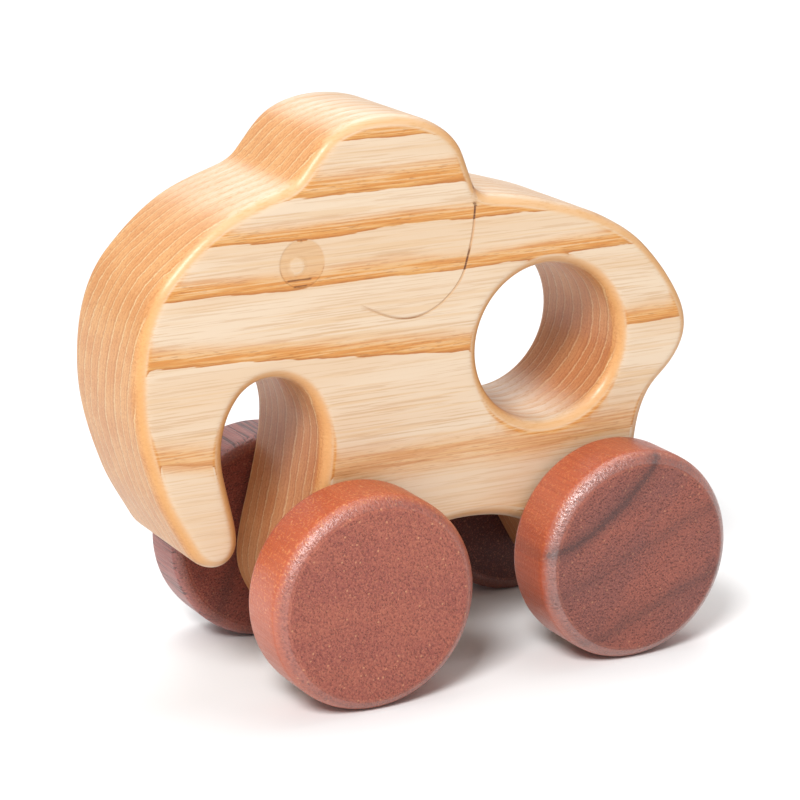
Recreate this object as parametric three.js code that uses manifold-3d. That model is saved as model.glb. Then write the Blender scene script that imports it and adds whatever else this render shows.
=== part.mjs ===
// Push-along elephant: a thick rounded ash board on four solid padauk wheels.
//
// Millimetres, +Z up. The elephant faces -X, and its left side is -Y. The origin is on the floor,
// under the middle of the bounding box. Each pair of wheels is glued to a dowel that turns in its leg.

import * as THREE from 'three';
import { mergeVertices } from 'three/addons/utils/BufferGeometryUtils.js';
import Module from 'manifold-3d';

// Driving dimensions

const WHEEL_DIAMETER = 40;
const WHEEL_WIDTH = 13;
const WHEEL_OUTER_ROUND = 2.2;
const WHEEL_INNER_ROUND = 1.8;
const WHEELBASE = 54;
const OVERALL_WIDTH = 57;

const BODY_THICKNESS = 29;
const BODY_ROUNDOVER = 2.6;
const GRIP_RADIUS = 14.7;
const GRIP_X = 15.6;
const GRIP_Z = 59;

const AXLE_DIAMETER = 8;
const AXLE_CHAMFER = 0.5;
const RUNNING_GAP = 0.3;
const GLUE_GAP = 0.3;
const SOCKET_DEPTH = 9;

const EYE_X = -34.5;
const EYE_Z = 79.8;
const EYE_RADIUS = 4.4;
const PUPIL_SHIFT_X = -1;
const PUPIL_SHIFT_Z = -0.3;
const PUPIL_RADIUS = 1.3;
const EYE_DEPTH = 0.25;
const EAR_WIDTH = 0.9;
const EAR_DEPTH = 0.4;

// Smoothness

const DEGREES_PER_STEP = 8;
const GRIP_SIDES = 48;
const WHEEL_SIDES = 48;
const AXLE_SIDES = 32;
const ROUND_STEPS = 4;
const SMALL_ROUND_STEPS = 2;

// Outline stations, counter-clockwise as seen from the left side: [x, z, heading in degrees].
// x is measured from the middle between the axles, and z from the floor. Heading 0 runs to +X,
// 90 runs up, and between two stations the outline is one smooth bend.

const TRUNK_TIP = [
  [-51.4, 26.4, 0],
  [-47.2, 31.2, 92],
];
const TRUNK_INSIDE = [
  [-48.6, 39, 102],
  [-49.8, 46.6, 90],
  [-46.4, 56.8, 50],
  [-40.4, 59.5, 0],
  [-32.6, 54.6, -62],
];
const FRONT_LEG = [
  [-30.6, 47, -90],
  [-33.2, 31.5, -104],
  [-35.8, 18.5, -90],
  [-33.4, 11, -62],
  [-28, 8.8, 0],
  [-20.6, 14, 62],
  [-15, 22.4, 48],
];
const BELLY = [
  [-2, 27.7, 0],
  [10.4, 25.5, -25],
];
const REAR_LEG = [
  [19.6, 18.6, -60],
  [23.6, 11.4, -60],
  [28, 9, 0],
  [34.6, 14, 72],
  [35.4, 20, 94],
  [34.8, 30, 91],
  [35.4, 38.5, 82],
];
const RUMP = [
  [38.2, 46.8, 56],
  [43, 51.7, 50],
  [46, 58.8, 90],
  [43.4, 66.4, 121],
  [36.9, 74.8, 134],
];
const BACK = [
  [27.3, 81.4, 153],
  [15, 85.7, 163],
  [5.6, 87.6, 172],
];
const HEAD = [
  [0.4, 90, 112],
  [-1.8, 95.8, 112],
  [-8, 101.9, 153],
  [-18.6, 104.2, 180],
  [-27.4, 102.2, 208],
  [-34.4, 95.2, 229],
];
const TRUNK_FRONT = [
  [-38.2, 92.9, 198],
  [-47, 89.8, 204],
  [-59.7, 80, 227],
  [-66.2, 59, 270],
  [-62.2, 40.4, 290],
  [-57, 30.2, 298],
];
const OUTLINE = [
  ...TRUNK_TIP, ...TRUNK_INSIDE, ...FRONT_LEG, ...BELLY, ...REAR_LEG,
  ...RUMP, ...BACK, ...HEAD, ...TRUNK_FRONT,
];

// The ear is one line, from the neck down and round to the cheek.
const EAR = [
  [0, 90.5, -90],
  [-0.4, 83.5, -95],
  [-2.2, 75.4, -106],
  [-6, 70.2, -140],
  [-13.4, 67.5, 180],
  [-21.6, 70.1, 152],
];

// Worked out

const WHEEL_RADIUS = WHEEL_DIAMETER / 2;
const AXLE_RADIUS = AXLE_DIAMETER / 2;
const SOCKET_RADIUS = AXLE_RADIUS + GLUE_GAP;
const WHEEL_INNER_FACE = OVERALL_WIDTH / 2 - WHEEL_WIDTH;
const AXLE_HALF = WHEEL_INNER_FACE + SOCKET_DEPTH - GLUE_GAP;
const TRUNK_REACH = Math.min(...OUTLINE.map((station) => station[0]));
const REAR_REACH = WHEELBASE / 2 + WHEEL_RADIUS;
const MIDDLE_X = (TRUNK_REACH + REAR_REACH) / 2;
const CUT_OVERRUN = 2;

const wasm = await Module();
wasm.setup();

// Curves

function bendBetween(from, to) {
  const start = new THREE.Vector2(from[0], from[1]);
  const end = new THREE.Vector2(to[0], to[1]);
  const out = THREE.MathUtils.degToRad(from[2]);
  const into = THREE.MathUtils.degToRad(to[2]);
  const turn = Math.abs(Math.atan2(Math.sin(into - out), Math.cos(into - out)));
  // On a circular arc this handle length makes the Bezier curve follow the arc.
  const share = turn > 0.001 ? (2 / 3) * Math.tan(turn / 4) / Math.sin(turn / 2) : 1 / 3;
  const handle = share * start.distanceTo(end);
  const leave = start.clone().add(new THREE.Vector2(Math.cos(out), Math.sin(out)).multiplyScalar(handle));
  const arrive = end.clone().sub(new THREE.Vector2(Math.cos(into), Math.sin(into)).multiplyScalar(handle));
  const curve = new THREE.CubicBezierCurve(start, leave, arrive, end);
  return { curve, steps: Math.max(2, Math.ceil(THREE.MathUtils.radToDeg(turn) / DEGREES_PER_STEP)) };
}

function closedOutline(stations) {
  const points = [];
  stations.forEach((station, i) => {
    const { curve, steps } = bendBetween(station, stations[(i + 1) % stations.length]);
    points.push(...curve.getPoints(steps).slice(0, -1));
  });
  return points;
}

function strokeOutline(stations, width) {
  const left = [];
  const right = [];
  stations.slice(1).forEach((station, i) => {
    const { curve, steps } = bendBetween(stations[i], station);
    for (let k = i === 0 ? 0 : 1; k <= steps; k += 1) {
      const point = curve.getPoint(k / steps);
      const along = curve.getTangent(k / steps);
      const across = new THREE.Vector2(-along.y, along.x).multiplyScalar(width / 2);
      left.push(point.clone().add(across));
      right.unshift(point.clone().sub(across));
    }
  });
  return right.concat(left).reverse();
}

function circleOutline(x, z, radius, sides) {
  const circle = new THREE.EllipseCurve(x, z, radius, radius, 0, 2 * Math.PI);
  return circle.getPoints(sides).slice(0, -1);
}

function arc(centreX, centreY, radius, fromDegrees, toDegrees, steps) {
  const curve = new THREE.EllipseCurve(
    centreX, centreY, radius, radius,
    THREE.MathUtils.degToRad(fromDegrees), THREE.MathUtils.degToRad(toDegrees),
  );
  return curve.getPoints(steps);
}

// Solids

function mergedGeometry(geometry) {
  geometry.deleteAttribute('normal');
  geometry.deleteAttribute('uv');
  return mergeVertices(geometry);
}

function toSolid(geometry) {
  const merged = mergedGeometry(geometry);
  const mesh = new wasm.Mesh({
    numProp: 3,
    vertProperties: merged.attributes.position.array,
    triVerts: new Uint32Array(merged.index.array),
  });
  return new wasm.Manifold(mesh);
}

function toGeometry(solid) {
  const mesh = solid.getMesh();
  const geometry = new THREE.BufferGeometry();
  geometry.setAttribute('position', new THREE.BufferAttribute(mesh.vertProperties, 3));
  geometry.setIndex(new THREE.BufferAttribute(mesh.triVerts, 1));
  geometry.computeVertexNormals();
  return geometry;
}

// A flat outline in x and z, made thick between two planes of constant y.
function plate(outline, fromY, toY, holes = []) {
  const shape = new THREE.Shape(outline);
  shape.holes = holes.map((hole) => new THREE.Path(hole));
  const geometry = new THREE.ExtrudeGeometry(shape, { depth: toY - fromY, bevelEnabled: false });
  return geometry.rotateX(Math.PI / 2).translate(0, toY, 0);
}

// The elephant

function roundedBoard() {
  const shape = new THREE.Shape(closedOutline(OUTLINE));
  shape.holes.push(new THREE.Path(circleOutline(GRIP_X, GRIP_Z, GRIP_RADIUS, GRIP_SIDES)));
  const depth = BODY_THICKNESS - 2 * BODY_ROUNDOVER;
  const geometry = new THREE.ExtrudeGeometry(shape, {
    depth,
    bevelThickness: BODY_ROUNDOVER,
    bevelSize: BODY_ROUNDOVER,
    bevelOffset: -BODY_ROUNDOVER,
    bevelSegments: ROUND_STEPS,
  });
  return toSolid(geometry.rotateX(Math.PI / 2).translate(0, depth / 2, 0));
}

function axleBore(x) {
  const half = BODY_THICKNESS / 2 + CUT_OVERRUN;
  const outline = circleOutline(x, WHEEL_RADIUS, AXLE_RADIUS + RUNNING_GAP, AXLE_SIDES);
  return toSolid(plate(outline, -half, half));
}

// The cuts for the eye and the ear on one side; side is -1 on the left and 1 on the right.
function faceCuts(side) {
  const face = side * BODY_THICKNESS / 2;
  const cutter = (outline, depth, holes) => {
    const ends = [face - side * depth, face + side * CUT_OVERRUN];
    return toSolid(plate(outline, Math.min(...ends), Math.max(...ends), holes));
  };
  const pupil = circleOutline(
    EYE_X + PUPIL_SHIFT_X, EYE_Z + PUPIL_SHIFT_Z, PUPIL_RADIUS, AXLE_SIDES,
  );
  const eye = circleOutline(EYE_X, EYE_Z, EYE_RADIUS, GRIP_SIDES);
  return [
    cutter(eye, EYE_DEPTH, [pupil.reverse()]),
    cutter(strokeOutline(EAR, EAR_WIDTH), EAR_DEPTH, []),
  ];
}

function elephantGeometry() {
  const cuts = [
    axleBore(-WHEELBASE / 2), axleBore(WHEELBASE / 2),
    ...faceCuts(-1), ...faceCuts(1),
  ];
  const solid = cuts.reduce((left, cut) => left.subtract(cut), roundedBoard());
  return toGeometry(solid);
}

// Wheels and axles, turned about the Y axis

// The inner face is at y = 0 and the outer face at y = WHEEL_WIDTH.
function wheelGeometry() {
  const profile = [
    new THREE.Vector2(0, SOCKET_DEPTH),
    new THREE.Vector2(SOCKET_RADIUS, SOCKET_DEPTH),
    new THREE.Vector2(SOCKET_RADIUS, 0),
    ...arc(WHEEL_RADIUS - WHEEL_INNER_ROUND, WHEEL_INNER_ROUND, WHEEL_INNER_ROUND, -90, 0,
      SMALL_ROUND_STEPS),
    ...arc(WHEEL_RADIUS - WHEEL_OUTER_ROUND, WHEEL_WIDTH - WHEEL_OUTER_ROUND, WHEEL_OUTER_ROUND, 0, 90,
      ROUND_STEPS),
    new THREE.Vector2(0, WHEEL_WIDTH),
  ];
  return mergedGeometry(new THREE.LatheGeometry(profile, WHEEL_SIDES));
}

function axleGeometry() {
  const profile = [
    new THREE.Vector2(0, -AXLE_HALF),
    new THREE.Vector2(AXLE_RADIUS - AXLE_CHAMFER, -AXLE_HALF),
    new THREE.Vector2(AXLE_RADIUS, -AXLE_HALF + AXLE_CHAMFER),
    new THREE.Vector2(AXLE_RADIUS, AXLE_HALF - AXLE_CHAMFER),
    new THREE.Vector2(AXLE_RADIUS - AXLE_CHAMFER, AXLE_HALF),
    new THREE.Vector2(0, AXLE_HALF),
  ];
  return mergedGeometry(new THREE.LatheGeometry(profile, AXLE_SIDES));
}

// Materials: each piece has its own

const ash = () => new THREE.MeshStandardMaterial({ color: 0xecc896, roughness: 0.42, metalness: 0 });
const padauk = () => new THREE.MeshStandardMaterial({ color: 0xa2523f, roughness: 0.38, metalness: 0 });
const beech = () => new THREE.MeshStandardMaterial({ color: 0xc9a172, roughness: 0.6, metalness: 0 });

function namedMesh(name, geometry, material) {
  geometry.computeVertexNormals();
  const mesh = new THREE.Mesh(geometry, material);
  mesh.name = name;
  return mesh;
}

// One axle with its two wheels, on its own centre line.
function wheelSet(name) {
  const set = new THREE.Group();
  const right = namedMesh(`${name}_right_wheel`, wheelGeometry(), padauk());
  right.position.y = WHEEL_INNER_FACE;
  const left = namedMesh(`${name}_left_wheel`, wheelGeometry(), padauk());
  left.position.y = -WHEEL_INNER_FACE;
  left.rotation.z = Math.PI;
  set.add(left, right, namedMesh(`${name}_axle`, axleGeometry(), beech()));
  return set;
}

const frontWheelSet = wheelSet('front');
frontWheelSet.position.set(-WHEELBASE / 2, 0, WHEEL_RADIUS);

const rearWheelSet = wheelSet('rear');
rearWheelSet.position.set(WHEELBASE / 2, 0, WHEEL_RADIUS);

const toy = new THREE.Group();
toy.add(namedMesh('elephant_body', elephantGeometry(), ash()), frontWheelSet, rearWheelSet);
toy.position.x = -MIDDLE_X;

export default toy;
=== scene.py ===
import math

import bmesh
import bpy
import numpy as np
from mathutils import Matrix, Vector
from mathutils.geometry import delaunay_2d_cdt


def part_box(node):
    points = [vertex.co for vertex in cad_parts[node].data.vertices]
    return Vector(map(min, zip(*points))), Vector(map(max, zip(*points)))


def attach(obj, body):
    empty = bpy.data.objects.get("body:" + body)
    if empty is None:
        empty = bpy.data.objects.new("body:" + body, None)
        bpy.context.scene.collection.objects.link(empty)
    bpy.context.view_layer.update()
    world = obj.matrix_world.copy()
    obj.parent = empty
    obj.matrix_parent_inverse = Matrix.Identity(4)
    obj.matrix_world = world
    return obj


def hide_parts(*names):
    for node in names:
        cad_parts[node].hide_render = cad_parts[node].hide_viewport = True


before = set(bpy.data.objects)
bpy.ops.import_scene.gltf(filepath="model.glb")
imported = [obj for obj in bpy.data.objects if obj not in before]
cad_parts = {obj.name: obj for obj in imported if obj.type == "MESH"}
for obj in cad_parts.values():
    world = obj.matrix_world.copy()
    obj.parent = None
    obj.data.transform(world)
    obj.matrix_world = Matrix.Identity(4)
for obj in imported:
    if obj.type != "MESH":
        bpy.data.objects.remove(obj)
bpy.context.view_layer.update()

# The looks of a push-along elephant: an oiled ash board on padauk wheels.
# Lengths are millimetres in the shapes and the materials, and MM turns them into Blender's metres.

MM = 0.001

# Places taken from the frame

LEFT_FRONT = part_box("front_left_wheel")
LEFT_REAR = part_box("rear_left_wheel")
BODY_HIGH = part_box("elephant_body")[1]
FRONT_X = (LEFT_FRONT[0].x + LEFT_FRONT[1].x) / 2 / MM
REAR_X = (LEFT_REAR[0].x + LEFT_REAR[1].x) / 2 / MM
WHEEL_RADIUS = LEFT_FRONT[1].z / 2 / MM
WHEEL_OUTER = -LEFT_FRONT[0].y / MM
WHEEL_INNER = -LEFT_FRONT[1].y / MM
BODY_HALF = BODY_HIGH.y / MM
MIDDLE_X = (FRONT_X + REAR_X) / 2
AXLE_LOW, AXLE_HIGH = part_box("front_axle")
AXLE_RADIUS = (AXLE_HIGH.z - AXLE_LOW.z) / 2 / MM
AXLE_HALF = AXLE_HIGH.y / MM

# The elephant's outline, as in the CAD model: [x, z, heading in degrees], counter-clockwise as seen
# from the left side. x is measured from the middle between the axles.

OUTLINE = [
    # tip and inner side of the trunk
    [-51.4, 26.4, 0], [-47.2, 31.2, 92], [-48.6, 39, 102], [-49.8, 46.6, 90],
    [-46.4, 56.8, 50], [-40.4, 59.5, 0], [-32.6, 54.6, -62],
    # front leg
    [-30.6, 47, -90], [-33.2, 31.5, -104], [-35.8, 18.5, -90], [-33.4, 11, -62],
    [-28, 8.8, 0], [-20.6, 14, 62], [-15, 22.4, 48],
    # belly
    [-2, 27.7, 0], [10.4, 25.5, -25],
    # rear leg
    [19.6, 18.6, -60], [23.6, 11.4, -60], [28, 9, 0], [34.6, 14, 72],
    [35.4, 20, 94], [34.8, 30, 91], [35.4, 38.5, 82],
    # rump and back
    [38.2, 46.8, 56], [43, 51.7, 50], [46, 58.8, 90], [43.4, 66.4, 121],
    [36.9, 74.8, 134], [27.3, 81.4, 153], [15, 85.7, 163], [5.6, 87.6, 172],
    # head
    [0.4, 90, 112], [-1.8, 95.8, 112], [-8, 101.9, 153], [-18.6, 104.2, 180],
    [-27.4, 102.2, 208], [-34.4, 95.2, 229],
    # forehead and front of the trunk
    [-38.2, 92.9, 198], [-47, 89.8, 204], [-59.7, 80, 227], [-66.2, 59, 270],
    [-62.2, 40.4, 290], [-57, 30.2, 298],
]
EAR = [
    [0, 90.5, -90], [-0.4, 83.5, -95], [-2.2, 75.4, -106],
    [-6, 70.2, -140], [-13.4, 67.5, 180], [-21.6, 70.1, 152],
]
# The grip hole: x, z and radius
GRIP = (15.6, 59.0, 14.7)
BODY_ROUND = 2.6
BORE_GAP = 0.3
BORE_ROUND = 0.4

# The burnt eye and ear line: where they are and how deep they are cut
EYE = (-34.5, 79.8)
EYE_RADIUS = 4.4
PUPIL = (-35.5, 79.5)
PUPIL_RADIUS = 1.3
EYE_DEPTH = 0.06
EYE_SIDE = 0.25
EAR_HALF_WIDTH = 0.26
EAR_DEPTH = 0.1

# The burnt colour along them: how wide each line is and how dark, from 0 to 1
EAR_LINE_WIDTH = 0.19
EYE_LINE_WIDTH = 0.16
EYE_LINE_INSET = 0.1
EYE_LINE_DARK = 0.34
PUPIL_LINE_RADIUS = 1.9
PUPIL_LINE_WIDTH = 0.2
PUPIL_LINE_DARK = 0.22
ROUNDED_EDGE_DARK = 0.7

# How finely the board is divided
OUTLINE_SPACING = 0.55
EAR_SPACING = 0.22
GRID_SPACING = 1.3
RIM_SPACING = 0.3
EYE_CLEARANCE = 1
BEND_MIN_STEPS = 4
STRAIGHT = 0.001
BODY_ROUND_STEPS = 9
BORE_ROUND_STEPS = 3
GRIP_SIDES = 180
BORE_SIDES = 72
EYE_RINGS = (0.5, 0.9, 1.15, 1.3, 1.45, 1.7, 1.9, 2.1, 2.5, 3.1, 3.7, 4.05, 4.2, 4.35, 4.5, 4.65, 5)
EYE_POINTS_PER_MM = 26
EYE_POINTS_MIN = 24
EAR_OFFSETS = (-0.9, -0.55, -0.36, -0.24, -0.12, 0, 0.12, 0.24, 0.36, 0.55, 0.9)
WELD = 0.004
CREASE = math.radians(16)


# Curves and meshes


def bend(start, end, spacing):
    """Points from one station to the next, without the last one."""
    a = np.array(start[:2], float)
    b = np.array(end[:2], float)
    out, into = math.radians(start[2]), math.radians(end[2])
    turn = abs(math.atan2(math.sin(into - out), math.cos(into - out)))
    share = 2 / 3 * math.tan(turn / 4) / math.sin(turn / 2) if turn > STRAIGHT else 1 / 3
    chord = float(np.hypot(*(b - a)))
    leave = a + share * chord * np.array([math.cos(out), math.sin(out)])
    arrive = b - share * chord * np.array([math.cos(into), math.sin(into)])
    count = max(BEND_MIN_STEPS, math.ceil(chord / spacing))
    t = (np.arange(count) / count)[:, None]
    return (1 - t) ** 3 * a + 3 * (1 - t) ** 2 * t * leave + 3 * (1 - t) * t**2 * arrive + t**3 * b


def closed_curve(stations, spacing):
    pairs = zip(stations, stations[1:] + stations[:1])
    return np.concatenate([bend(a, b, spacing) for a, b in pairs])


def open_curve(stations, spacing):
    parts = [bend(a, b, spacing) for a, b in zip(stations, stations[1:])]
    return np.concatenate(parts + [np.array([stations[-1][:2]], float)])


def circle(x, z, radius, count):
    angle = np.arange(count) * 2 * math.pi / count
    return np.stack([x + radius * np.cos(angle), z + radius * np.sin(angle)], 1)


def left_normals(loop):
    """Unit normals to the left of travel at each point of a closed loop."""
    along = np.roll(loop, -1, 0) - np.roll(loop, 1, 0)
    along /= np.linalg.norm(along, axis=1)[:, None]
    return np.stack([-along[:, 1], along[:, 0]], 1)


def inside(points, loop):
    """True for each point that lies in the closed loop."""
    x, y = points[:, 0][:, None], points[:, 1][:, None]
    x0, y0 = loop[:, 0][None], loop[:, 1][None]
    x1, y1 = np.roll(loop[:, 0], -1)[None], np.roll(loop[:, 1], -1)[None]
    spans = (y0 > y) != (y1 > y)
    rise = np.where(y1 == y0, 1, y1 - y0)
    return (spans & (x < (x1 - x0) * (y - y0) / rise + x0)).sum(1) % 2 == 1


def distance_to_path(points, path):
    """Distance from each point to an open path."""
    a, b = path[:-1], path[1:]
    ab = b - a
    best = np.full(len(points), 1e9)
    for start, step in zip(a, ab):
        t = np.clip((points - start) @ step / (step @ step), 0, 1)
        best = np.minimum(best, np.linalg.norm(points - start - t[:, None] * step, axis=1))
    return best


def smooth_step(x):
    x = np.clip(x, 0, 1)
    return x * x * (3 - 2 * x)


def new_piece(name, mesh, body, slot, *nodes):
    """A finished mesh as a piece that rides on a body and stands for CAD nodes."""
    piece = bpy.data.objects.new(name, mesh)
    bpy.context.scene.collection.objects.link(piece)
    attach(piece, body)
    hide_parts(*nodes)
    return piece


# The board


class Rim:
    """One closed edge of the board, rounded over to both faces: the outline, the grip hole or a bore."""

    def __init__(self, loop, into_wood, radius, steps):
        self.loop = loop
        self.into_wood = into_wood
        self.radius = radius
        self.steps = steps

    def levels(self):
        """(y, inset) pairs from the left face to the right face."""
        angles = np.linspace(math.pi / 2, 0, self.steps + 1)
        half = [
            (-(BODY_HALF - self.radius + self.radius * math.sin(t)), self.radius * (1 - math.cos(t)))
            for t in angles
        ]
        return half + [(-y, inset) for y, inset in reversed(half)]

    def inset(self, distance):
        return self.loop + distance * self.into_wood

    def face_edge(self):
        return self.inset(self.radius)


def board_rims():
    outline = closed_curve(OUTLINE, OUTLINE_SPACING)
    rims = [Rim(outline, left_normals(outline), BODY_ROUND, BODY_ROUND_STEPS)]
    grip = circle(*GRIP, GRIP_SIDES)
    rims.append(Rim(grip, -left_normals(grip), BODY_ROUND, BODY_ROUND_STEPS))
    for x in (FRONT_X - MIDDLE_X, REAR_X - MIDDLE_X):
        bore = circle(x, WHEEL_RADIUS, AXLE_RADIUS + BORE_GAP, BORE_SIDES)
        rims.append(Rim(bore, -left_normals(bore), BORE_ROUND, BORE_ROUND_STEPS))
    return rims


def detail_points(ear):
    """Close-set points around the eye and along the ear, so that their cuts have smooth sides."""
    points = []
    for radius in EYE_RINGS:
        points.append(circle(*EYE, radius, max(EYE_POINTS_MIN, int(radius * EYE_POINTS_PER_MM))))
    along = np.gradient(ear, axis=0)
    along /= np.linalg.norm(along, axis=1)[:, None]
    across = np.stack([-along[:, 1], along[:, 0]], 1)
    for offset in EAR_OFFSETS:
        points.append(ear + offset * across)
    return np.concatenate(points)


def between_rims(points, edges):
    """True for each point that lies in the first edge and outside all the others."""
    keep = inside(points, edges[0])
    for hole in edges[1:]:
        keep &= ~inside(points, hole)
    return keep


def free_points(edges, ear):
    """Points inside the flat face: a grid, with the close-set points where the burnt lines are."""
    low, high = edges[0].min(0), edges[0].max(0)
    columns = np.arange(low[0], high[0], GRID_SPACING)
    rows = np.arange(low[1], high[1], GRID_SPACING)
    grid = np.stack(np.meshgrid(columns, rows), -1).reshape(-1, 2)
    off_ear = distance_to_path(grid, ear) > GRID_SPACING
    off_eye = np.linalg.norm(grid - EYE, axis=1) > EYE_RADIUS + EYE_CLEARANCE
    points = np.concatenate([detail_points(ear), grid[off_ear & off_eye]])
    points = points[between_rims(points, edges)]
    for loop in edges:
        ring = np.concatenate([loop, loop[:1]])
        points = points[distance_to_path(points, ring) > RIM_SPACING]
    return points


def face_mesh(rims, ear):
    """The flat face as 2-D points and triangles."""
    edges = [rim.face_edge() for rim in rims]
    constraints = []
    first = 0
    for loop in edges:
        count = len(loop)
        constraints += [(first + i, first + (i + 1) % count) for i in range(count)]
        first += count
    points = [Vector(p) for p in np.concatenate(edges + [free_points(edges, ear)])]
    flat, _, faces, _, _, _ = delaunay_2d_cdt(points, constraints, [], 0, 1e-4)
    flat = np.array([tuple(p) for p in flat])
    faces = np.array(faces)
    return flat, faces[between_rims(flat[faces].mean(1), edges)]


def engraving(points, ear):
    """At each point: how deep the face is cut, in millimetres, how dark the burnt lines are, and how
    much of the eye's disc it is, both 0 to 1."""
    to_ear = distance_to_path(points, ear)
    to_eye = np.linalg.norm(points - EYE, axis=1)
    to_pupil = np.linalg.norm(points - PUPIL, axis=1)
    ear_cut = smooth_step(1 - to_ear / EAR_HALF_WIDTH)
    disc = smooth_step((EYE_RADIUS - to_eye) / EYE_SIDE)
    disc = disc * smooth_step((to_pupil - PUPIL_RADIUS) / EYE_SIDE)
    depth = np.maximum(EAR_DEPTH * ear_cut, EYE_DEPTH * disc)
    ear_line = np.exp(-((to_ear / EAR_LINE_WIDTH) ** 2))
    eye_line = np.exp(-(((to_eye - EYE_RADIUS + EYE_LINE_INSET) / EYE_LINE_WIDTH) ** 2))
    pupil_line = np.exp(-(((to_pupil - PUPIL_LINE_RADIUS) / PUPIL_LINE_WIDTH) ** 2))
    pupil_line = pupil_line * (to_eye < EYE_RADIUS)
    line = np.maximum.reduce([ear_line, EYE_LINE_DARK * eye_line, PUPIL_LINE_DARK * pupil_line])
    return depth, line, disc


def wall_faces(first, count, levels):
    """The faces between the levels of a closed edge, whose points are numbered from first."""
    faces = []
    for level in range(levels - 1):
        for i in range(count):
            a = first + level * count + i
            b = first + level * count + (i + 1) % count
            faces.append((a, b, b + count, a + count))
    return faces


def board_mesh():
    """The board's two flat faces and every rounded edge between them, with the burn as attributes."""
    rims = board_rims()
    ear = open_curve(EAR, EAR_SPACING)
    flat, triangles = face_mesh(rims, ear)
    depth, line, disc = engraving(flat, ear)
    vertices, faces, lines, discs = [], [], [], []
    for side in (-1, 1):
        first = len(vertices)
        y = side * (BODY_HALF - depth)
        vertices += [(p[0], h, p[1]) for p, h in zip(flat, y)]
        lines += list(line)
        discs += list(disc)
        order = triangles if side < 0 else triangles[:, ::-1]
        faces += [tuple(int(i) + first for i in face) for face in order]
    for rim in rims:
        count = len(rim.loop)
        first = len(vertices)
        levels = rim.levels()
        for y, inset in levels:
            edge = rim.inset(inset)
            vertices += [(p[0], y, p[1]) for p in edge]
            lines += list(ROUNDED_EDGE_DARK * engraving(edge, ear)[1])
        discs += [0.0] * count * len(levels)
        faces += wall_faces(first, count, len(levels))
    scaled = [((x + MIDDLE_X) * MM, y * MM, z * MM) for x, y, z in vertices]
    mesh = bpy.data.meshes.new("elephant_board")
    mesh.from_pydata(scaled, [], faces)
    for name, values in (("burnt_line", lines), ("burnt_disc", discs)):
        attribute = mesh.attributes.new(name, "FLOAT", "POINT")
        attribute.data.foreach_set("value", np.array(values, np.float32))
    close_mesh(mesh)
    return mesh


def close_mesh(mesh):
    """Welds the parts of a mesh along their shared edges, turns every face out and shades it smooth
    except across creases."""
    work = bmesh.new()
    work.from_mesh(mesh)
    bmesh.ops.remove_doubles(work, verts=work.verts, dist=WELD * MM)
    bmesh.ops.recalc_face_normals(work, faces=work.faces)
    for face in work.faces:
        face.smooth = True
    for edge in work.edges:
        edge.smooth = edge.calc_face_angle(0) < CREASE
    work.to_mesh(mesh)
    work.free()


# Turned pieces


def turned_mesh(name, profile, centre_x, sides):
    """A solid turned about the axle's centre line. The profile is (radius, y) pairs in millimetres."""
    vertices, rows, faces = [], [], []
    for radius, y in profile:
        if radius == 0:
            rows.append([len(vertices)] * sides)
            vertices.append((centre_x, y, WHEEL_RADIUS))
            continue
        rows.append(list(range(len(vertices), len(vertices) + sides)))
        for x, z in circle(centre_x, WHEEL_RADIUS, radius, sides):
            vertices.append((x, y, z))
    for low, high in zip(rows, rows[1:]):
        for i in range(sides):
            j = (i + 1) % sides
            face = list(dict.fromkeys([low[i], low[j], high[j], high[i]]))
            faces.append(face)
    mesh = bpy.data.meshes.new(name)
    mesh.from_pydata([(x * MM, y * MM, z * MM) for x, y, z in vertices], [], faces)
    close_mesh(mesh)
    return mesh


def arc_profile(radius, y, bend_radius, start, end, steps):
    """(radius, y) pairs round a corner; the angles are in degrees, and 0 points away from the axis."""
    angles = np.radians(np.linspace(start, end, steps + 1))
    return [(radius + bend_radius * math.cos(t), y + bend_radius * math.sin(t)) for t in angles]


WHEEL_SIDES = 160
WHEEL_EDGE = 2.4
WHEEL_EDGE_STEP = 0.06
WHEEL_EDGE_ANGLES = (8, 72)
WHEEL_EDGE_STEPS = 12
WHEEL_INNER_EDGE = 1.8
WHEEL_INNER_STEPS = 7
# Loops of points beside the rounded edge: on the face, how far inwards; on the rim, (how far inwards,
# how far along y)
WHEEL_FACE_LOOPS = (0.16, 0.4)
WHEEL_RIM_LOOPS = ((0, 0.9), (0.02, 0.4))
WHEEL_FACE_RADII = (15, 11, 7, 3, 0)
WHEEL_INNER_RADII = (8, 12, 16)
SOCKET_DEPTH = 9
SOCKET_GAP = 0.3
SOCKET_FLOOR_BEVEL = 0.3
SOCKET_MOUTH_BEVEL = 0.4
AXLE_SIDES = 64
AXLE_ROUND = 0.6
AXLE_ROUND_STEPS = 4


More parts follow.
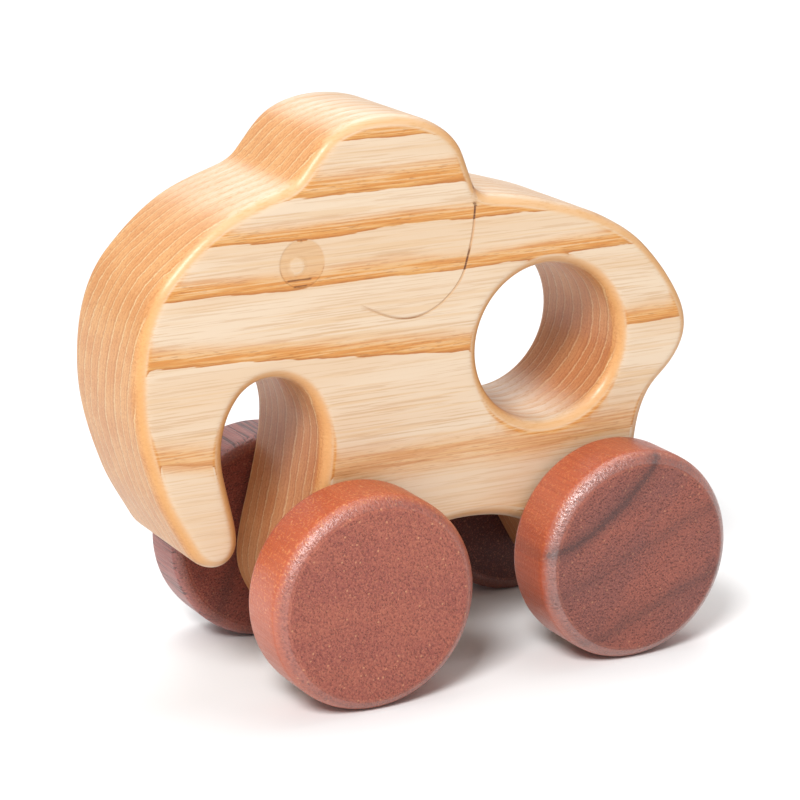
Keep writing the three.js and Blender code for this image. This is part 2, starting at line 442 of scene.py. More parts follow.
def wheel_profile():
    """From the socket's floor round the inner face, the rim and the outer face; y runs outwards."""
    face = WHEEL_RADIUS - WHEEL_EDGE
    low, high = (math.radians(angle) for angle in WHEEL_EDGE_ANGLES)
    bend_radius = WHEEL_EDGE / (math.cos(low) - math.cos(high))
    centre = WHEEL_RADIUS - bend_radius * math.cos(low)
    top = WHEEL_OUTER - WHEEL_EDGE_STEP - bend_radius * math.sin(high)
    start = top + bend_radius * math.sin(low)
    socket = AXLE_RADIUS + SOCKET_GAP
    floor = WHEEL_INNER + SOCKET_DEPTH
    inner_radius = WHEEL_RADIUS - WHEEL_INNER_EDGE
    inner_y = WHEEL_INNER + WHEEL_INNER_EDGE
    flat_radii = tuple(face - inwards for inwards in WHEEL_FACE_LOOPS) + WHEEL_FACE_RADII
    return (
        [(0, floor), (socket - SOCKET_FLOOR_BEVEL, floor)]
        + [(socket, floor - SOCKET_FLOOR_BEVEL), (socket, WHEEL_INNER + SOCKET_MOUTH_BEVEL)]
        + [(socket + SOCKET_MOUTH_BEVEL, WHEEL_INNER)]
        + [(radius, WHEEL_INNER) for radius in WHEEL_INNER_RADII]
        + arc_profile(inner_radius, inner_y, WHEEL_INNER_EDGE, -90, 0, WHEEL_INNER_STEPS)
        + [(WHEEL_RADIUS - inwards, start - along) for inwards, along in WHEEL_RIM_LOOPS]
        + arc_profile(centre, top, bend_radius, *WHEEL_EDGE_ANGLES, WHEEL_EDGE_STEPS)[1:]
        + [(radius, WHEEL_OUTER) for radius in flat_radii]
    )


def axle_profile():
    """From one end of the dowel to the other."""
    radius = AXLE_RADIUS - AXLE_ROUND
    bend_y = AXLE_HALF - AXLE_ROUND
    return (
        [(0, -AXLE_HALF), (radius, -AXLE_HALF)]
        + arc_profile(radius, -bend_y, AXLE_ROUND, -90, 0, AXLE_ROUND_STEPS)[1:]
        + arc_profile(radius, bend_y, AXLE_ROUND, 0, 90, AXLE_ROUND_STEPS)
        + [(0, AXLE_HALF)]
    )


# Materials


class Material:
    """A node material. Most methods add nodes and give an output socket, so their calls can be nested."""

    def __init__(self, name):
        self.material = bpy.data.materials.new(name)
        self.material.use_nodes = True
        self.tree = self.material.node_tree
        self.shader = self.tree.nodes["Principled BSDF"]
        coordinates = self.tree.nodes.new("ShaderNodeTexCoord")
        self.place = self.vector("SCALE", coordinates.outputs["Object"], scale=1 / MM)
        self.normal = coordinates.outputs["Normal"]

    def put(self, socket, value):
        if isinstance(value, bpy.types.NodeSocket):
            self.tree.links.new(value, socket)
        else:
            socket.default_value = value

    def math(self, operation, a, b=0.0, c=0.0):
        node = self.tree.nodes.new("ShaderNodeMath")
        node.operation = operation
        for socket, value in zip(node.inputs, (a, b, c)):
            self.put(socket, value)
        return node.outputs[0]

    def vector(self, operation, a, b=(0, 0, 0), scale=1.0):
        node = self.tree.nodes.new("ShaderNodeVectorMath")
        node.operation = operation
        self.put(node.inputs[0], a)
        self.put(node.inputs[1], b)
        if operation == "SCALE":
            self.put(node.inputs["Scale"], scale)
        return node.outputs["Value" if operation in ("LENGTH", "DOT_PRODUCT") else "Vector"]

    def split(self, vector):
        node = self.tree.nodes.new("ShaderNodeSeparateXYZ")
        self.put(node.inputs[0], vector)
        return node.outputs[0], node.outputs[1], node.outputs[2]

    def join(self, x, y, z):
        node = self.tree.nodes.new("ShaderNodeCombineXYZ")
        for socket, value in zip(node.inputs, (x, y, z)):
            self.put(socket, value)
        return node.outputs[0]

    def times(self, *factors):
        product = factors[0]
        for factor in factors[1:]:
            product = self.math("MULTIPLY", product, factor)
        return product

    def plus(self, *terms):
        total = terms[0]
        for term in terms[1:]:
            total = self.math("ADD", total, term)
        return total

    def minus(self, a, b):
        return self.math("SUBTRACT", a, b)

    def largest(self, a, b):
        return self.math("MAXIMUM", a, b)

    def size(self, a):
        return self.math("ABSOLUTE", a)

    def swing(self, noise, reach):
        """Noise from 0 to 1 as a shift to either side, up to half the reach."""
        return self.times(self.minus(noise, 0.5), reach)

    def noise(self, place, grain, detail=2.0, rough=0.5):
        """Noise from 0 to 1; grain is the size of its grains along the three axes, in millimetres."""
        node = self.tree.nodes.new("ShaderNodeTexNoise")
        shrunk = self.vector("MULTIPLY", place, tuple(1 / length for length in grain))
        self.put(node.inputs["Vector"], shrunk)
        self.put(node.inputs["Scale"], 1.0)
        self.put(node.inputs["Detail"], detail)
        self.put(node.inputs["Roughness"], rough)
        return node.outputs["Fac"]

    def cells(self, place, flat=False):
        """Distance to the nearest of points scattered about 1 apart, and a random number for it."""
        node = self.tree.nodes.new("ShaderNodeTexVoronoi")
        node.voronoi_dimensions = "2D" if flat else "3D"
        self.put(node.inputs["Vector"], place)
        self.put(node.inputs["Scale"], 1.0)
        self.put(node.inputs["Randomness"], 1.0)
        random = self.tree.nodes.new("ShaderNodeSeparateColor")
        self.put(random.inputs[0], node.outputs["Color"])
        return node.outputs["Distance"], random.outputs[0]

    def range(self, value, low, high, to_low=0.0, to_high=1.0, smooth=True):
        node = self.tree.nodes.new("ShaderNodeMapRange")
        node.interpolation_type = "SMOOTHSTEP" if smooth else "LINEAR"
        for socket, setting in zip(node.inputs, (value, low, high, to_low, to_high)):
            self.put(socket, setting)
        return node.outputs[0]

    def curve(self, value, points):
        """A function of one number, drawn straight through (x, y) points, all within 0 to 1."""
        node = self.tree.nodes.new("ShaderNodeFloatCurve")
        line = node.mapping.curves[0]
        for x, y in points[1:-1]:
            line.points.new(x, y)
        line.points[0].location = points[0]
        line.points[len(points) - 1].location = points[-1]
        for point in line.points:
            point.handle_type = "VECTOR"
        node.mapping.update()
        self.put(node.inputs["Value"], value)
        return node.outputs[0]

    def attribute(self, name):
        node = self.tree.nodes.new("ShaderNodeAttribute")
        node.attribute_name = name
        return node.outputs["Fac"]

    def mix(self, share, a, b, blend="MIX"):
        node = self.tree.nodes.new("ShaderNodeMix")
        node.data_type = "RGBA"
        node.blend_type = blend
        self.put(node.inputs[0], share)
        for socket, value in ((node.inputs[6], a), (node.inputs[7], b)):
            self.put(socket, value)
        return node.outputs[2]

    def bump(self, height, strength, depth):
        """A normal tilted by the height; depth is what a height of 1 stands for, in millimetres."""
        node = self.tree.nodes.new("ShaderNodeBump")
        self.put(node.inputs["Strength"], strength)
        self.put(node.inputs["Distance"], depth * MM)
        self.put(node.inputs["Height"], height)
        return node.outputs[0]

    def finish(self, **settings):
        """Sets the shader's inputs, each named with _ for its spaces."""
        for name, value in settings.items():
            self.put(self.shader.inputs[name.replace("_", " ")], value)
        return self.material


def tint(red, green, blue, strength=1.0):
    """A colour from 0 to 255 display values, as the linear values that a shader reads."""
    def linear(value):
        value /= 255
        return strength * (value / 12.92 if value <= 0.04045 else ((value + 0.055) / 1.055) ** 2.4)
    return (linear(red), linear(green), linear(blue), 1)


# How bright a white sheet standing in the studio would look; 1 is white on the screen.
STUDIO_LIGHT = 1.4


def colour(red, green, blue):
    """A surface colour given as it looks under the studio lights."""
    return tint(red, green, blue, 1 / STUDIO_LIGHT)


# The growth rings are arcs round a pith in front of the board's left face, here by their radius.
PITH_Y = -144.5
PITH_Z = 34.0
RINGS = [130.7, 133.6, 136.4, 139.4, 142.0, 146.0, 149.3, 152.3, 154.8, 157.4, 160.2, 162.8,
         165.6, 168.4, 171.2]
RING_LOW = 126.0
RING_HIGH = 176.0
RING_WIDTH = 3.1
# Towards the rear the rings sink: from SINK_X up to another x their radius shrinks by an amount. LOW_SINK
# is that (x, amount) for the wood below z 50, and HIGH_SINK for the wood from z 57 to z 67.
SINK_X = -52.4
LOW_SINK = (-18.4, 0.55)
HIGH_SINK = (4.6, 1.0)
# Dark strokes in the eye: [start x, end x, z, half the thickness]
BURNT_STROKES = [(-37.6, -32.5, 76.9, 0.26), (-36.4, -33.3, 75.75, 0.24), (-35.0, -34.2, 83.8, 0.3)]

ASH_PALE = (colour(244, 213, 178), colour(249, 224, 194))
ASH_BRUSHED = colour(238, 196, 146)
ASH_FINE_LINE = colour(218, 172, 126)
ASH_BAND = (colour(242, 180, 102), colour(228, 152, 74))
ASH_BAND_START = colour(190, 116, 54)
ASH_PORE = colour(170, 104, 52)
ASH_END = (colour(229, 161, 100), colour(238, 177, 116))
ASH_END_FLANK = colour(202, 132, 74)
ASH_END_THIN = colour(206, 136, 80)
ASH_END_LIGHT_LINE = colour(252, 214, 160)
ASH_END_DARK_SPECK = colour(190, 124, 72)
ASH_END_LIGHT_SPECK = colour(246, 196, 138)
# Painted shade on the end grain in the recesses low behind the trunk and in the grip hole
ASH_PAINTED_SHADE = tint(228, 202, 194)
ASH_ROUNDED = colour(244, 182, 110)
BURNT_DISC_TINT = tint(246, 226, 196)
BURNT_LINE = colour(196, 146, 98)
BURNT_DARK = colour(104, 54, 24)


class Ash(Material):
    """Oiled ash. Its growth rings are solid, so side grain and end grain agree along every edge."""

    def __init__(self):
        super().__init__("oiled_ash")
        self.x, self.y, self.z = self.split(self.place)
        normal_x, normal_y, _ = self.split(self.normal)
        self.fibre = self.noise(self.place, (15, 0.36, 0.36), detail=3, rough=0.6)
        self.tone = self.noise(self.place, (60, 6, 6), detail=1)
        self.pores = self.noise(self.place, (2.2, 0.16, 0.16), detail=2)
        self.drawn = self.attribute("burnt_line")
        # 1 on end grain and 0 along the grain
        self.end_grain = self.range(self.size(normal_x), 0.08, 0.7)
        # 1 on the two flat faces and 0 on the walls between them
        self.facing_side = self.size(normal_y)
        self.on_wall = self.range(self.facing_side, 0.7, 0.3)
        self.find_rings()
        self.find_bands()

    def sink(self):
        """What is added to the radius at each point, so that the rings sink."""
        low_x, low_radius = LOW_SINK
        high_x, high_radius = HIGH_SINK
        low = self.times(self.range(self.x, SINK_X, low_x, smooth=False),
                         self.range(self.z, 57, 50, 0, low_radius))
        high = self.times(self.range(self.x, SINK_X, high_x, smooth=False),
                          self.range(self.z, 50, 57, 0, high_radius), self.range(self.z, 74, 67))
        return self.plus(low, high)

    def find_rings(self):
        """Sets cross, how steeply the rings cross the surface, from near 0 where they graze it up to 1;
        phase, 0 to 1 through each ring; and reach, the way along the surface from the ring's start."""
        from_pith = self.join(0, self.minus(self.y, PITH_Y), self.minus(self.z, PITH_Z))
        facing_pith = self.vector("DOT_PRODUCT", self.vector("NORMALIZE", from_pith), self.normal)
        square = self.largest(self.minus(1.0, self.times(facing_pith, facing_pith)), 0.004)
        self.cross = self.math("SQRT", square)
        wander = self.noise(self.place, (34, 16, 16), detail=1)
        wobble = self.noise(self.place, (6, 1.6, 1.6), detail=3)
        shift = self.plus(self.swing(wander, 3.0), self.swing(wobble, 0.9), self.swing(self.fibre, 0.55))
        radius = self.plus(self.vector("LENGTH", from_pith), self.times(shift, self.cross), self.sink())
        span = RING_HIGH - RING_LOW
        count = len(RINGS) + 1
        points = [((r - RING_LOW) / span, (i + 1) / count) for i, r in enumerate(RINGS)]
        share = self.range(radius, RING_LOW, RING_HIGH, smooth=False)
        ring = self.curve(share, [(0, 0)] + points + [(1, 1)])
        self.phase = self.math("FRACT", self.times(ring, count))
        self.reach = self.math("DIVIDE", self.times(self.phase, RING_WIDTH), self.cross)

    def find_bands(self):
        """Each ring starts with a porous band that has one sharp side and fades outwards. Where the
        rings only graze the surface both sides are soft."""
        flat = self.largest(self.range(self.facing_side, 0.93, 0.99), self.range(self.facing_side, 0.4, 0.1))
        flat = self.largest(flat, self.range(self.drawn, 0.005, 0.05))
        to_next = self.math("DIVIDE", self.times(self.minus(1.0, self.phase), RING_WIDTH), self.cross)
        grazing = self.range(self.cross, 0.16, 0.07)
        soft = self.times(self.range(to_next, 1.6, 0.0), grazing)
        fade = self.times(self.range(self.phase, 0.8, 0.22), self.range(self.reach, 4.8, 1.5))
        rise = self.range(self.reach, 0.0, 0.12)
        self.band = self.times(
            self.largest(self.times(fade, self.largest(rise, grazing)), soft),
            self.range(self.cross, 0.95, 0.5, 0.4, 1),
            self.range(self.cross, 0.06, 0.17, 0.68, 1),
            self.largest(flat, 0.15),
        )
        self.band_start = self.times(
            self.times(self.range(self.phase, 0.14, 0.02), self.range(self.reach, 0.8, 0.15)),
            self.times(rise, flat),
            self.range(self.cross, 0.95, 0.5, 0.2, 1),
            self.range(self.cross, 0.06, 0.16, 0.25, 1),
        )

    def side_colour(self):
        """Pale wood with thin streaks, more of them near a band, and the bands over it."""
        streak = self.noise(self.place, (30, 0.75, 0.75), detail=2, rough=0.55)
        line = self.times(self.range(self.fibre, 0.53, 0.61), self.range(self.phase, 1.0, 0.3, 0.6, 1))
        brush = self.times(self.range(streak, 0.5, 0.66), self.range(self.phase, 1.0, 0.3, 0.5, 1))
        wood = self.mix(self.range(self.tone, 0.35, 0.65), *ASH_PALE)
        wood = self.mix(self.times(brush, 0.55), wood, ASH_BRUSHED)
        wood = self.mix(self.times(line, 0.5), wood, ASH_FINE_LINE)
        whole = self.largest(self.range(self.fibre, 0.35, 0.52, 0.6, 1), self.range(self.reach, 1.6, 0.4))
        band_colour = self.mix(self.range(self.fibre, 0.4, 0.6), *ASH_BAND)
        wood = self.mix(self.times(self.band, whole), wood, band_colour)
        start = self.times(self.band_start, self.range(self.fibre, 0.35, 0.6, 0.2, 0.75))
        wood = self.mix(start, wood, ASH_BAND_START)
        flecks = self.times(self.band, self.range(self.pores, 0.58, 0.68))
        return self.mix(self.times(flecks, 0.45), wood, ASH_PORE)

    def end_colour(self):
        """End grain: a dark flank and a light line at each ring, a thin line between, and specks, with
        painted shade in the recesses.
        """
        speck = self.noise(self.place, (3, 0.42, 0.42), detail=2, rough=0.7)
        wood = self.mix(self.range(self.tone, 0.3, 0.7), *ASH_END)
        flank = self.times(self.range(self.phase, 0.4, 0.12), self.range(self.on_wall, 0, 1, 0.15, 0.8))
        wood = self.mix(flank, wood, ASH_END_FLANK)
        between = self.math("FRACT", self.times(self.phase, 2.0))
        thin = self.times(self.range(between, 0.3, 0.08), self.range(self.on_wall, 0, 1, 0, 0.45))
        wood = self.mix(thin, wood, ASH_END_THIN)
        light = self.times(self.range(self.phase, 0.0, 0.05), self.range(self.phase, 0.2, 0.08),
                           self.range(self.on_wall, 0, 1, 0, 0.9), self.range(speck, 0.3, 0.5, 0.5, 1))
        wood = self.mix(light, wood, ASH_END_LIGHT_LINE)
        wood = self.mix(self.range(speck, 0.5, 0.68, 0, 0.45), wood, ASH_END_DARK_SPECK)
        wood = self.mix(self.range(speck, 0.45, 0.3, 0, 0.4), wood, ASH_END_LIGHT_SPECK)
        # Painted shade: the end grain is tinted darker in the recesses low behind the trunk and in the grip
        # hole.
        return self.mix(self.painted_shade_share(), wood, self.mix(1.0, wood, ASH_PAINTED_SHADE, "MULTIPLY"))

    def painted_shade_share(self):
        """Where painted shade tints the end grain darker: low down everywhere behind the trunk, which is both
        legs and the belly's ends, and in the lower half of the grip hole, where shade falls."""
        low_down = self.times(self.range(self.x, -37, -32), self.range(self.z, 58, 42))
        grip_x, grip_z, grip_radius = GRIP
        from_grip = self.join(self.minus(self.x, grip_x + MIDDLE_X), 0.0, self.minus(self.z, grip_z))
        from_grip = self.vector("LENGTH", from_grip)
        in_grip = self.times(self.range(from_grip, grip_radius + 1.2, grip_radius + 0.2),
                             self.range(self.z, grip_z + 8, grip_z - 4))
        darker = self.times(self.largest(low_down, in_grip), self.range(self.facing_side, 0.35, 0.1))
        return self.times(darker, self.range(self.phase, 0.0, 0.1, 0.1, 0.8))

    def rounded_share(self):
        """1 on the rounded edges, off the drawn lines."""
        return self.times(self.range(self.facing_side, 0.4, 0.75),
                          self.range(self.facing_side, 0.998, 0.88),
                          self.range(self.drawn, 0.05, 0.005))

    def scorched(self):
        """How black the burn is: where the lines cross a porous band, and the strokes in the eye."""
        crossing = self.times(self.range(self.band, 0.1, 0.6), self.range(self.fibre, 0.35, 0.5, 0.35, 1))
        scorch = self.times(self.range(self.drawn, 0.1, 0.6), crossing)
        for left, right, height, half in BURNT_STROKES:
            off_middle = self.size(self.minus(self.x, (left + right) / 2 + MIDDLE_X))
            half_length = (right - left) / 2
            stroke = self.times(
                self.range(off_middle, half_length, half_length - 0.5),
                self.range(self.size(self.minus(self.z, height)), half, half * 0.4),
                self.range(self.fibre, 0.38, 0.52, 0.15, 0.85),
                self.range(self.facing_side, 0.9, 0.99),
            )
            scorch = self.largest(scorch, stroke)
        return scorch


def ash():
    m = Ash()
    wood = m.mix(m.end_grain, m.side_colour(), m.end_colour())
    wood = m.mix(m.times(m.rounded_share(), 0.55), wood, ASH_ROUNDED)
    disc = m.times(m.attribute("burnt_disc"), 0.7)
    wood = m.mix(disc, wood, m.mix(1.0, wood, BURNT_DISC_TINT, "MULTIPLY"))
    wood = m.mix(m.times(m.drawn, 0.55), wood, BURNT_LINE)
    wood = m.mix(m.times(m.scorched(), 0.9), wood, BURNT_DARK)
    open_grain = m.times(m.largest(m.band, m.end_grain), 0.1)
    height = m.plus(m.times(m.fibre, 0.6), m.times(m.pores, 0.3))
    return m.finish(
        Base_Color=wood,
        Roughness=m.plus(m.range(m.fibre, 0.3, 0.7, 0.34, 0.46), open_grain),
        Specular_IOR_Level=0.4,
        Coat_Weight=0.2,
        Coat_Roughness=0.2,
        Normal=m.bump(height, 0.35, 0.05),
        Coat_Normal=m.bump(height, 0.25, 0.05),
    )


FACE_EDGE = WHEEL_RADIUS - WHEEL_EDGE
PORE_SPACING = 0.54
SEED_STEP = (37.1, 11.7, 53.9)
FACE_LIGHT_GRIT = colour(212, 130, 102)
FACE_DARK_GRIT = colour(118, 52, 42)
FACE_PORE = colour(84, 36, 30)
FACE_ROUNDED = colour(206, 116, 84)
# A painted highlight along the crease at the face's edge
FACE_CREASE_HIGHLIGHT = colour(222, 150, 124)
RIM_DASH = colour(72, 30, 28)
# Specks of the rim's grain, lit as painted glints on its upper half
RIM_SPECK_GLINT = colour(252, 168, 104)
FLECK = colour(244, 176, 130)
STREAK = colour(92, 60, 57)


class Padauk(Material):
    """One wheel's wood. The grain runs along the axle, so the faces are end grain."""

    def __init__(self, name, wood_of):
        super().__init__(name)
        self.wood_of = wood_of
        centre = (wood_of["x"], wood_of["side"] * WHEEL_OUTER, WHEEL_RADIUS)
        x, y, self.z = self.split(self.vector("SUBTRACT", self.place, centre))
        turn = math.radians(wood_of["turn"])
        c, s = math.cos(turn), math.sin(turn)
        self.along = self.plus(self.times(x, c), self.times(self.z, s))
        self.across = self.minus(self.times(self.z, c), self.times(x, s))
        offset = tuple(wood_of["seed"] * step for step in SEED_STEP)
        self.grain = self.vector("ADD", self.join(self.along, y, self.across), offset)
        self.from_axis = self.vector("LENGTH", self.join(x, 0.0, self.z))
        self.rim = self.range(self.from_axis, WHEEL_RADIUS - 1.3, WHEEL_RADIUS - 0.05)
        self.rounded = self.range(self.from_axis, FACE_EDGE, FACE_EDGE + 0.6)
        self.sway = self.noise(self.grain, (7, 60, 7), detail=2)
        self.grit = self.noise(self.grain, (0.34, 5, 0.34), detail=2, rough=0.7)
        self.speck = self.noise(self.grain, (0.42, 0.6, 0.42), detail=2, rough=0.6)
        dash = self.noise(self.grain, (0.5, 18, 0.5), detail=1)
        self.dashes = self.times(self.range(dash, 0.55, 0.63), wood_of["dashes"])
        self.pore = self.find_pores()

    def find_pores(self):
        """Tubes along the grain, cut across on the faces."""
        warp = self.swing(self.sway, 3.0)
        jag = self.swing(self.grit, 0.9)
        tube_x = self.plus(self.along, warp, jag)
        tube_z = self.minus(self.minus(self.across, warp), jag)
        tubes = self.vector("SCALE", self.join(tube_x, tube_z, 0.0), scale=1 / PORE_SPACING)
        distance, kind = self.cells(tubes, flat=True)
        return self.times(self.range(distance, 0.36, 0.14), self.range(kind, 0.1, 0.6))

    def face_colour(self):
        cloud = self.noise(self.grain, (16, 80, 6), detail=3)
        off_crease = self.size(self.minus(self.from_axis, FACE_EDGE))
        face = self.mix(self.range(cloud, 0.35, 0.65), self.wood_of["face_dark"], self.wood_of["face_light"])
        face = self.mix(self.range(self.grit, 0.5, 0.64, 0, self.wood_of["grit"]), face, FACE_LIGHT_GRIT)
        face = self.mix(self.range(self.grit, 0.46, 0.32, 0, 0.5), face, FACE_DARK_GRIT)
        face = self.mix(self.times(self.pore, self.wood_of["pores"]), face, FACE_PORE)
        face = self.mix(self.range(self.from_axis, FACE_EDGE, FACE_EDGE + 0.4, 0, 0.15), face, FACE_ROUNDED)
        # A painted highlight: a thin lighter ring along the crease at the face's edge.
        return self.mix(self.times(self.range(off_crease, 0.26, 0.06), 0.15), face, FACE_CREASE_HIGHLIGHT)

    def rim_colour(self):
        fibre = self.noise(self.grain, (0.6, 20, 0.6), detail=3, rough=0.65)
        share = self.range(fibre, 0.38, 0.62)
        long_grain = self.mix(share, self.wood_of["rim_light"], self.wood_of["rim_dark"])
        return self.mix(self.dashes, long_grain, RIM_DASH)

    def speckled(self, wood):
        """Light specks of the grain, most of them on the rim, kept to where it is uppermost at rest as
        painted glints of light from above; and scattered flecks.
        """
        # Painted glints: the specks are kept to the rim's upper half at rest, where light from above falls.
        specks = self.times(self.range(self.speck, 0.56, 0.63), self.range(self.rim, 0.05, 0.6, 0.15, 1),
                            self.range(self.z, -6, 5), self.wood_of["specks"])
        wood = self.mix(specks, wood, RIM_SPECK_GLINT)
        spread = self.vector("MULTIPLY", self.grain, (1 / 0.9, 1 / 1.1, 1 / 0.9))
        distance, kind = self.cells(spread)
        flecks = self.times(self.range(distance, 0.3, 0.14), self.range(kind, 0.8, 0.86))
        return self.mix(self.times(flecks, self.wood_of["flecks"]), wood, FLECK)

    def streaked(self, wood):
        """Dark streaks: each a ragged core in a soft halo, along a gently curved line."""
        for middle, slope, curl, half_width, strength in self.wood_of["streaks"]:
            bent = self.math("MULTIPLY_ADD", self.along, curl, slope)
            line = self.math("MULTIPLY_ADD", bent, self.along, middle)
            near = self.size(self.plus(self.minus(self.across, line), self.swing(self.sway, 2.4)))
            ragged = self.plus(near, self.swing(self.grit, 2.6))
            core = self.range(ragged, half_width * 1.7, half_width * 0.1)
            halo = self.range(near, 3.4 * half_width, 0, 0, 0.55)
            share = self.times(self.largest(core, halo), strength, self.range(self.rim, 0.3, 1, 1, 0.35))
            wood = self.mix(share, wood, STREAK)
        return wood


def padauk(name, wood_of):
    m = Padauk(name, wood_of)
    wood = m.mix(m.rim, m.face_colour(), m.rim_colour())
    wood = m.streaked(m.speckled(wood))
    open_grain = m.minus(m.times(m.grit, 0.8), m.pore)
    height = m.times(open_grain, m.range(m.rim, 0.4, 1, 1, 0.25))
    height = m.plus(height, m.times(m.speck, m.range(m.rounded, 0, 1, 0, 1.4)))
    height = m.minus(height, m.times(m.dashes, 0.5))
    polish = m.times(m.range(m.rounded, 0, 1, 0.08, wood_of["gloss"]), m.range(m.rim, 0.9, 1, 1, 0.5))
    return m.finish(
        Base_Color=wood,
        Roughness=m.range(m.grit, 0.3, 0.7, 0.34, 0.5),
        Specular_IOR_Level=0.3,
        Coat_Weight=polish,
        Coat_IOR=1.95,
        Coat_Roughness=0.36,
        Normal=m.bump(height, 0.6, 0.1),
        Coat_Normal=m.bump(height, 1.0, 0.11),
    )


def beech():
    m = Material("beech_dowel_wood")
    fibre = m.noise(m.place, (0.3, 12, 0.3), detail=3)
    flecks = m.noise(m.place, (0.5, 2, 0.5), detail=1)
    wood = m.mix(m.range(fibre, 0.35, 0.65), colour(206, 164, 118), colour(188, 142, 98))
    wood = m.mix(m.range(flecks, 0.62, 0.7, 0, 0.5), wood, colour(160, 112, 74))
    return m.finish(
        Base_Color=wood,
        Roughness=m.range(fibre, 0.3, 0.7, 0.5, 0.65),
        Normal=m.bump(fibre, 0.3, 0.05),
    )


# The pieces


def add_elephant():
    board = new_piece("ash_elephant", board_mesh(), "elephant", "ash", "elephant_body")
    board.data.materials.append(ash())


# turn is the grain's angle about the axle, in degrees, and each streak runs along it: (how far across
# it is at the middle, slope, curl, half width, strength).
WHEELS = {
    "front_left": {
        "x": FRONT_X, "side": -1, "turn": -20, "seed": 1, "streaks": [],
        "face_light": colour(178, 98, 80), "face_dark": colour(167, 89, 76),
        "grit": 0.5, "pores": 0.45, "gloss": 0.65,
        "rim_light": colour(208, 104, 66), "rim_dark": colour(198, 96, 62), "dashes": 0.0, "flecks": 0.5,
        "specks": 0.45,
    },
    # The far front wheel's face and rim are darker than the near one's: partly the wood, partly painted
    # shade.
    "front_right": {
        "x": FRONT_X, "side": 1, "turn": 70, "seed": 2, "streaks": [(6, 0, 0, 1.2, 0.35)],
        "face_light": colour(162, 82, 68), "face_dark": colour(142, 72, 62),
        "grit": 0.5, "pores": 0.8, "gloss": 0.5,
        "rim_light": colour(186, 104, 92), "rim_dark": colour(160, 88, 80), "dashes": 0.75, "flecks": 0.2,
        "specks": 0.0,
    },
    "rear_left": {
        "x": REAR_X, "side": -1, "turn": 38, "seed": 3,
        "streaks": [(10.9, -0.08, 0.013, 1.0, 0.85), (-10.9, -0.32, 0, 1.3, 0.45), (1.5, -0.28, 0, 1.2, 0.3)],
        "face_light": colour(160, 88, 74), "face_dark": colour(142, 82, 74),
        "grit": 0.4, "pores": 0.7, "gloss": 1.0,
        "rim_light": colour(198, 97, 62), "rim_dark": colour(186, 88, 57), "dashes": 0.05, "flecks": 0.3,
        "specks": 0.25,
    },
    # The far rear wheel's colours are darker than the near wheels' by painted shade, as it stands in the
    # body's shade.
    "rear_right": {
        "x": REAR_X, "side": 1, "turn": 115, "seed": 4, "streaks": [(-5, 0, 0, 0.9, 0.4)],
        "face_light": colour(100, 47, 40), "face_dark": colour(86, 40, 37),
        "grit": 0.35, "pores": 0.7, "gloss": 0.5,
        "rim_light": colour(176, 92, 70), "rim_dark": colour(150, 76, 62), "dashes": 0.4, "flecks": 0.2,
        "specks": 0.0,
    },
}


def add_wheels():
    for place, wood_of in WHEELS.items():
        end = place.split("_")[0]
        profile = [(radius, wood_of["side"] * y) for radius, y in wheel_profile()]
        mesh = turned_mesh(f"{place}_wheel", profile, wood_of["x"], WHEEL_SIDES)
        wheel = new_piece(f"padauk_{place}_wheel", mesh, f"{end}_wheel_set", "padauk", f"{place}_wheel")
        wheel.data.materials.append(padauk(f"padauk_{place}", wood_of))


def add_axles():
    wood = beech()
    for end, x in (("front", FRONT_X), ("rear", REAR_X)):
        mesh = turned_mesh(f"{end}_dowel", axle_profile(), x, AXLE_SIDES)
        axle = new_piece(f"beech_{end}_axle", mesh, f"{end}_wheel_set", "beech_dowel", f"{end}_axle")
        axle.data.materials.append(wood)


# Camera, floor and lights

CAMERA_AZIMUTH = -27.92
CAMERA_ELEVATION = 16.13
CAMERA_ROLL = -0.24
CAMERA_DISTANCE = 537.2
CAMERA_TARGET = (1.83, 0, 47.84)
CAMERA_LENS = 131.1
CAMERA_SENSOR = 36
CAMERA_CLIP = 0.01

# The floor's half width is in metres, and its grey is the linear value that the shader reads.
FLOOR_HALF = 4
FLOOR_GREY = 0.8

# Each softbox is (name, direction, distance, width, height, power), in metres and watts.
SOFTBOXES = [
    ("key", (-0.52, -0.51, 0.69), 2.0, 0.6, 0.6, 43),
    ("overhead", (0.1, 0.25, 1), 2.5, 1.8, 1.8, 33),
    ("back", (0.35, 0.8, 0.5), 2.2, 1.6, 1.0, 7),
]
SOFTBOX_AIM = Vector((0, 0, 0.05))
WORLD_LIGHT = 0.42


def towards(azimuth, elevation):
    """A unit vector: azimuth 0 is -Y and -90 is -X, and elevation is up from the floor."""
    a, e = math.radians(azimuth), math.radians(elevation)
    return Vector((math.sin(a) * math.cos(e), -math.cos(a) * math.cos(e), math.sin(e)))


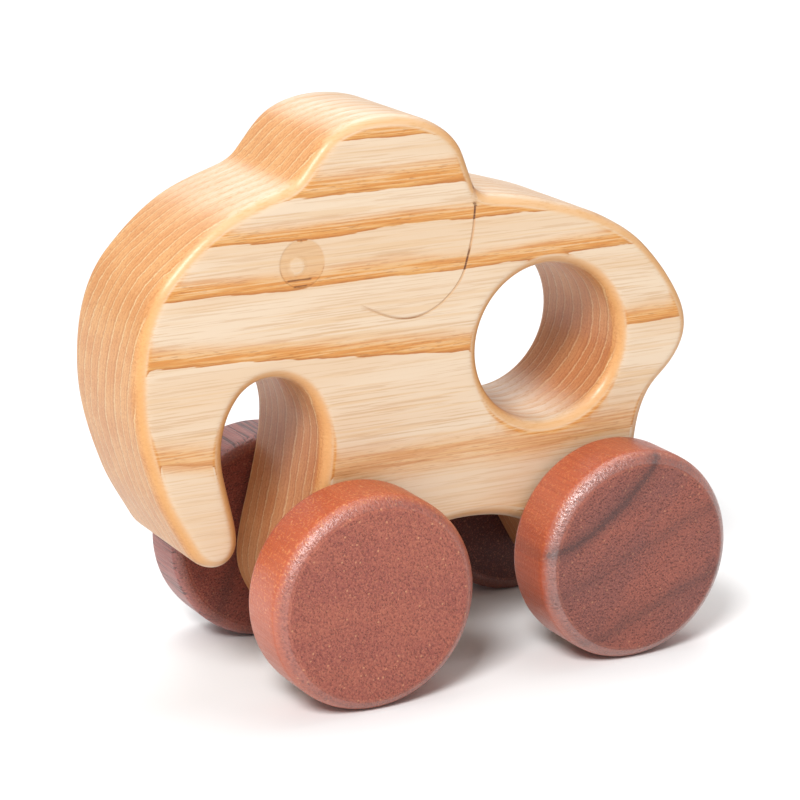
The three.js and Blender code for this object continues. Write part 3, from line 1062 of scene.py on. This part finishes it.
def add_camera():
    camera = bpy.data.objects.new("camera", bpy.data.cameras.new("camera"))
    bpy.context.scene.collection.objects.link(camera)
    back = towards(CAMERA_AZIMUTH, CAMERA_ELEVATION)
    rotation = back.to_track_quat("Z", "Y").to_matrix().to_4x4()
    place = (Vector(CAMERA_TARGET) + back * CAMERA_DISTANCE) * MM
    roll = Matrix.Rotation(math.radians(CAMERA_ROLL), 4, "Z")
    camera.matrix_world = Matrix.Translation(place) @ rotation @ roll
    camera.data.lens = CAMERA_LENS
    camera.data.sensor_width = CAMERA_SENSOR
    camera.data.clip_start = CAMERA_CLIP
    bpy.context.scene.camera = camera


def add_floor():
    mesh = bpy.data.meshes.new("floor")
    corners = [(x * FLOOR_HALF, y * FLOOR_HALF, 0) for x, y in ((-1, -1), (1, -1), (1, 1), (-1, 1))]
    mesh.from_pydata(corners, [], [(0, 1, 2, 3)])
    floor = bpy.data.objects.new("floor", mesh)
    bpy.context.scene.collection.objects.link(floor)
    grey = (FLOOR_GREY, FLOOR_GREY, FLOOR_GREY, 1)
    pale = Material("pale_floor").finish(Base_Color=grey, Roughness=0.9, Specular_IOR_Level=0.1)
    mesh.materials.append(pale)


def add_softbox(name, direction, distance, width, height, power):
    light = bpy.data.lights.new(name, "AREA")
    light.shape = "RECTANGLE"
    light.size = width
    light.size_y = height
    light.energy = power
    box = bpy.data.objects.new(name, light)
    bpy.context.scene.collection.objects.link(box)
    box.visible_camera = False
    direction = Vector(direction)
    place = Matrix.Translation(SOFTBOX_AIM + direction.normalized() * distance)
    box.matrix_world = place @ direction.to_track_quat("Z", "Y").to_matrix().to_4x4()


def add_lights():
    world = bpy.data.worlds.new("studio")
    world.use_nodes = True
    background = world.node_tree.nodes["Background"]
    background.inputs["Color"].default_value = (1, 1, 1, 1)
    background.inputs["Strength"].default_value = WORLD_LIGHT
    bpy.context.scene.world = world
    for softbox in SOFTBOXES:
        add_softbox(*softbox)
    bpy.context.scene.view_settings.view_transform = "Standard"


add_camera()
add_floor()
add_lights()
add_elephant()
add_wheels()
add_axles()
